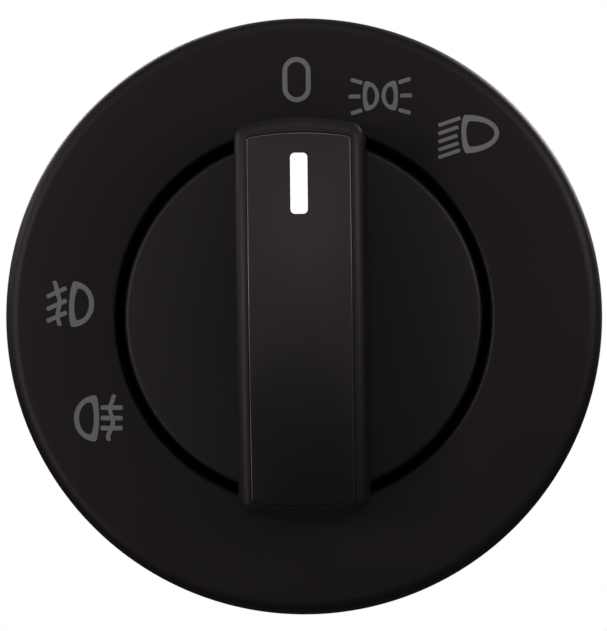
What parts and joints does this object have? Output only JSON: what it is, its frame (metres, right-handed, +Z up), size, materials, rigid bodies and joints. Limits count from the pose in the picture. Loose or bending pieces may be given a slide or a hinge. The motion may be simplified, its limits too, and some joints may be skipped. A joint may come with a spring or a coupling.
{
  "type": "headlight switch",
  "caption": "Round push-in dashboard headlight switch: ring bezel, turning and pulling knob with a full-width grip bar, side latches and a rear connector.",
  "frame": {"origin": "centre of the bezel's back rim, on the face of the dashboard, on the knob's axis", "axes": "+Y into the dashboard along the knob's axis, +Z up towards the off position, +X to the driver's right"},
  "size_m": [0.069, 0.0671, 0.069],
  "materials": {
    "bezel_plastic": "fine satin",
    "knob_plastic": "fine satin",
    "grip_plastic": "soft satin",
    "pointer_white": "translucent white",
    "natural_plastic": "satin",
    "housing_plastic": "satin",
    "red_plastic": "satin",
    "clear_plastic": "clear",
    "board": "satin",
    "lamp": "clear",
    "resistor": "satin",
    "contact_base": "satin",
    "brass": "plain",
    "tinned": "tinned",
    "steel": "zinc plated",
    "spring_steel": "plain"
  },
  "bodies": {
    "housing": {"bezel": "bezel_plastic", "housing": "housing_plastic", "bearing_plate": "housing_plastic", "light_guide": "clear_plastic", "lamp_board": "board", "lamp_leds": "lamp", "board_resistors": "resistor", "board_pins": "brass", "contact_plate": "contact_base", "fixed_contacts": "brass", "contact_risers": "brass", "fog_contacts": "brass", "rear_cover": "housing_plastic", "terminal_blades": "tinned", "cover_screws": "steel", "detent_spring": "spring_steel", "latch_spring_right": "spring_steel", "latch_spring_left": "spring_steel"},
    "rotor": {"rotor": "natural_plastic", "rotor_contacts": "brass", "push_spring": "spring_steel"},
    "knob": {"knob": "knob_plastic", "grip_panel": "grip_plastic", "pointer": "pointer_white", "shaft": "steel", "circlip": "spring_steel"},
    "fog_slider": {"fog_slider": "natural_plastic", "fog_bridges": "brass"},
    "release_ring": {"release_ring": "red_plastic"},
    "latch_right": {"latch_right": "natural_plastic"},
    "latch_left": {"latch_left": "natural_plastic"},
    "detent_ball": {"detent_ball": "steel"}
  },
  "joints": [
    {"name": "knob_turn", "type": "hinge", "parent": "housing", "child": "rotor", "pos_m": [0, 0.012, 0], "axis": [0, 1, 0], "range_deg": [0, 44]},
    {"name": "knob_pull", "type": "slide", "parent": "rotor", "child": "knob", "axis": [0, -1, 0], "range_m": [-0.0025, 0.008], "deforming": ["push_spring"]},
    {"name": "fog_slide", "type": "slide", "parent": "housing", "child": "fog_slider", "axis": [0, -1, 0], "range_m": [-0.0025, 0.008]},
    {"name": "release_turn", "type": "hinge", "parent": "housing", "child": "release_ring", "pos_m": [0, 0.01, 0], "axis": [0, 1, 0], "range_deg": [0, 22], "stiffness_Nm_per_rad": 0.03, "springref_deg": -5.73},
    {"name": "latch_right_slide", "type": "slide", "parent": "housing", "child": "latch_right", "axis": [-1, 0, 0], "range_m": [0, 0.003], "deforming": ["latch_spring_right"]},
    {"name": "latch_left_slide", "type": "slide", "parent": "housing", "child": "latch_left", "axis": [1, 0, 0], "range_m": [0, 0.003], "deforming": ["latch_spring_left"]},
    {"name": "detent_slide", "type": "slide", "parent": "housing", "child": "detent_ball", "axis": [0, 0, 1], "range_m": [0, 0.0008], "stiffness_N_per_m": 400, "springref_m": -0.001, "deforming": ["detent_spring"]}
  ],
  "couplings": [
    {"joint": "fog_slide", "follows": "knob_pull", "ratio": 1},
    {"joint": "latch_right_slide", "follows": "release_turn", "m_per_rad": 0.0078},
    {"joint": "latch_left_slide", "follows": "release_turn", "m_per_rad": 0.0078}
  ]
}
